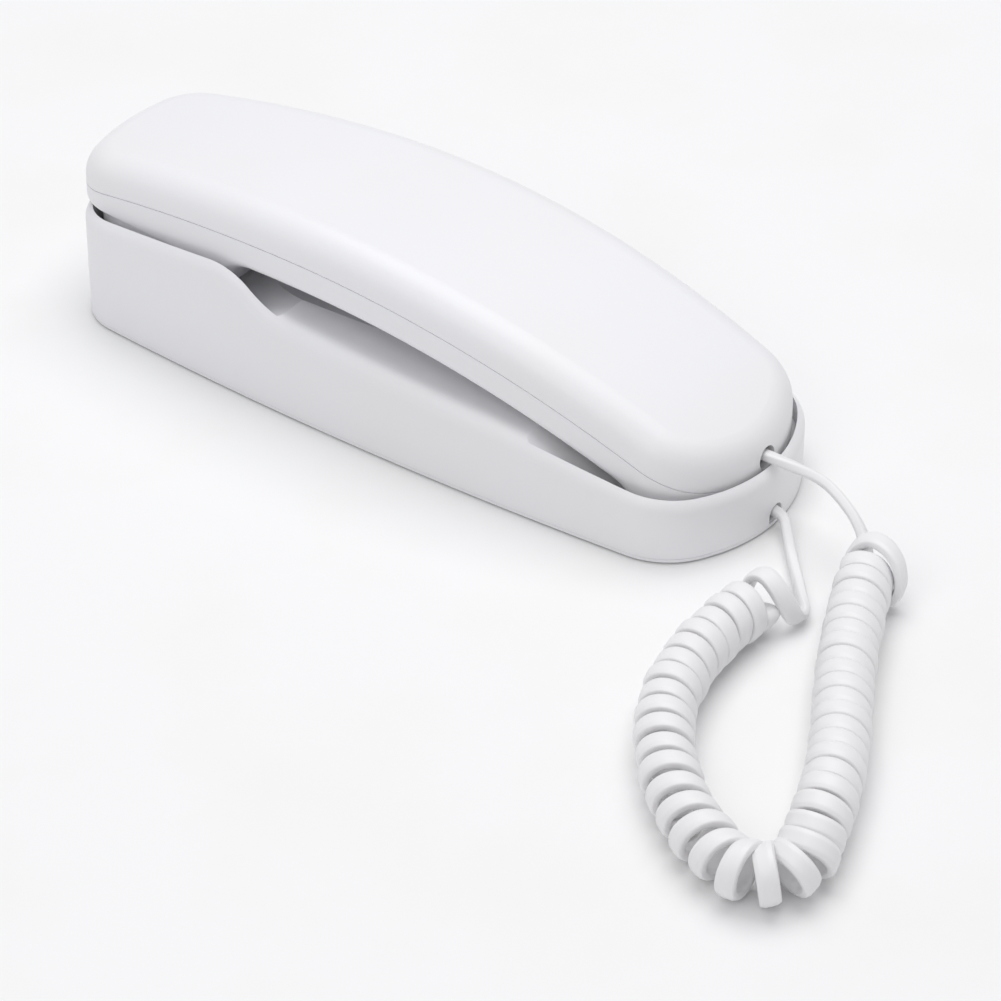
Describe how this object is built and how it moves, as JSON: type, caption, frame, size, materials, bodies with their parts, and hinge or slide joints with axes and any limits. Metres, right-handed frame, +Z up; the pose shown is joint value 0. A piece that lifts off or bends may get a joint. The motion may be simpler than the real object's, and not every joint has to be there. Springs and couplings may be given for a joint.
{
  "type": "slimline wall phone",
  "caption": "Slim corded wall telephone: a domed handset with its keypad in the face lies on a low base with a rounded mouth collar, joined by a flat curly cord.",
  "frame": {"origin": "middle of the phone's footprint on the surface its feet stand on", "axes": "+X along the phone towards its mouth end, where the cord is; +Z up, away from the wall or table; +Y towards the side with the line jack"},
  "size_m": [0.2961, 0.1656, 0.0542],
  "materials": {
    "shell_plastic": "satin moulded, white",
    "key_plastic": "satin moulded",
    "cord_vinyl": "soft vinyl, satin",
    "plunger_plastic": "smooth",
    "capsule_metal": "drawn, satin",
    "soft_rubber": "matt",
    "keypad_silicone": "matt",
    "board_laminate": "lacquered laminate",
    "black_plastic": "moulded",
    "steel": "zinc plated",
    "contact_brass": "stamped",
    "light_lens": "clear moulded"
  },
  "bodies": {
    "base": {"base_shell": "shell_plastic", "base_back_plate": "shell_plastic", "hook_spring": "steel", "hook_switch": "black_plastic", "base_board": "board_laminate", "base_board_components": "black_plastic", "ringer_disc": "contact_brass", "ringer_switch_body": "black_plastic", "line_jack": "black_plastic", "base_screws": "steel", "base_feet": "soft_rubber", "hanger_tab": "shell_plastic", "base_strain_relief": "cord_vinyl", "cord_coil": "cord_vinyl", "cord_base_lead": "cord_vinyl"},
    "handset": {"handset_outer_shell": "shell_plastic", "handset_inner_shell": "shell_plastic", "ear_cushion_ring": "soft_rubber", "earpiece_receiver": "capsule_metal", "receiver_retainer": "plunger_plastic", "microphone_capsule": "capsule_metal", "microphone_boot": "soft_rubber", "keypad_board": "board_laminate", "keypad_mat": "keypad_silicone", "handset_weight": "steel", "board_screws": "steel", "handset_screws": "steel", "handset_strain_relief": "cord_vinyl", "in_use_light": "light_lens", "cord_handset_lead": "cord_vinyl"},
    "plunger": {"hook_plunger": "plunger_plastic"},
    "leaf": {"hook_contact_leaf": "contact_brass"},
    "ringer_knob": {"ringer_switch_knob": "key_plastic"},
    "key_1": {"key_1": "key_plastic"},
    "key_2": {"key_2": "key_plastic"},
    "key_3": {"key_3": "key_plastic"},
    "key_4": {"key_4": "key_plastic"},
    "key_5": {"key_5": "key_plastic"},
    "key_6": {"key_6": "key_plastic"},
    "key_7": {"key_7": "key_plastic"},
    "key_8": {"key_8": "key_plastic"},
    "key_9": {"key_9": "key_plastic"},
    "key_star": {"key_star": "key_plastic"},
    "key_0": {"key_0": "key_plastic"},
    "key_hash": {"key_hash": "key_plastic"},
    "key_mute": {"key_mute": "key_plastic"},
    "key_redial": {"key_redial": "key_plastic"},
    "key_flash": {"key_flash": "key_plastic"},
    "key_pause": {"key_pause": "key_plastic"}
  },
  "joints": [
    {"name": "handset_lift", "type": "slide", "parent": "base", "child": "handset", "axis": [0, 0, 1], "range_m": [0, 0.05]},
    {"name": "hook_plunger_slide", "type": "slide", "parent": "base", "child": "plunger", "axis": [0, 0, 1], "range_m": [0, 0.0045], "deforming": ["hook_spring"]},
    {"name": "hook_leaf_hinge", "type": "hinge", "parent": "base", "child": "leaf", "pos_m": [-0.044, 0, 0.0119], "axis": [0, 1, 0], "range_deg": [0, 20]},
    {"name": "ringer_slide", "type": "slide", "parent": "base", "child": "ringer_knob", "axis": [1, 0, 0], "range_m": [-0.0024, 0.0024]},
    {"name": "key_1_press", "type": "slide", "parent": "handset", "child": "key_1", "axis": [0, 0, 1], "range_m": [0, 0.0012], "stiffness_N_per_m": 400, "springref_m": -0.0004},
    {"name": "key_2_press", "type": "slide", "parent": "handset", "child": "key_2", "axis": [0, 0, 1], "range_m": [0, 0.0012], "stiffness_N_per_m": 400, "springref_m": -0.0004},
    {"name": "key_3_press", "type": "slide", "parent": "handset", "child": "key_3", "axis": [0, 0, 1], "range_m": [0, 0.0012], "stiffness_N_per_m": 400, "springref_m": -0.0004},
    {"name": "key_4_press", "type": "slide", "parent": "handset", "child": "key_4", "axis": [0, 0, 1], "range_m": [0, 0.0012], "stiffness_N_per_m": 400, "springref_m": -0.0004},
    {"name": "key_5_press", "type": "slide", "parent": "handset", "child": "key_5", "axis": [0, 0, 1], "range_m": [0, 0.0012], "stiffness_N_per_m": 400, "springref_m": -0.0004},
    {"name": "key_6_press", "type": "slide", "parent": "handset", "child": "key_6", "axis": [0, 0, 1], "range_m": [0, 0.0012], "stiffness_N_per_m": 400, "springref_m": -0.0004},
    {"name": "key_7_press", "type": "slide", "parent": "handset", "child": "key_7", "axis": [0, 0, 1], "range_m": [0, 0.0012], "stiffness_N_per_m": 400, "springref_m": -0.0004},
    {"name": "key_8_press", "type": "slide", "parent": "handset", "child": "key_8", "axis": [0, 0, 1], "range_m": [0, 0.0012], "stiffness_N_per_m": 400, "springref_m": -0.0004},
    {"name": "key_9_press", "type": "slide", "parent": "handset", "child": "key_9", "axis": [0, 0, 1], "range_m": [0, 0.0012], "stiffness_N_per_m": 400, "springref_m": -0.0004},
    {"name": "key_star_press", "type": "slide", "parent": "handset", "child": "key_star", "axis": [0, 0, 1], "range_m": [0, 0.0012], "stiffness_N_per_m": 400, "springref_m": -0.0004},
    {"name": "key_0_press", "type": "slide", "parent": "handset", "child": "key_0", "axis": [0, 0, 1], "range_m": [0, 0.0012], "stiffness_N_per_m": 400, "springref_m": -0.0004},
    {"name": "key_hash_press", "type": "slide", "parent": "handset", "child": "key_hash", "axis": [0, 0, 1], "range_m": [0, 0.0012], "stiffness_N_per_m": 400, "springref_m": -0.0004},
    {"name": "key_mute_press", "type": "slide", "parent": "handset", "child": "key_mute", "axis": [0, 0, 1], "range_m": [0, 0.0012], "stiffness_N_per_m": 400, "springref_m": -0.0004},
    {"name": "key_redial_press", "type": "slide", "parent": "handset", "child": "key_redial", "axis": [0, 0, 1], "range_m": [0, 0.0012], "stiffness_N_per_m": 400, "springref_m": -0.0004},
    {"name": "key_flash_press", "type": "slide", "parent": "handset", "child": "key_flash", "axis": [0, 0, 1], "range_m": [0, 0.0012], "stiffness_N_per_m": 400, "springref_m": -0.0004},
    {"name": "key_pause_press", "type": "slide", "parent": "handset", "child": "key_pause", "axis": [0, 0, 1], "range_m": [0, 0.0012], "stiffness_N_per_m": 400, "springref_m": -0.0004}
  ],
  "couplings": [
    {"joint": "hook_plunger_slide", "follows": "handset_lift", "ratio": 0.09},
    {"joint": "hook_leaf_hinge", "follows": "handset_lift", "rad_per_m": 6.981}
  ]
}
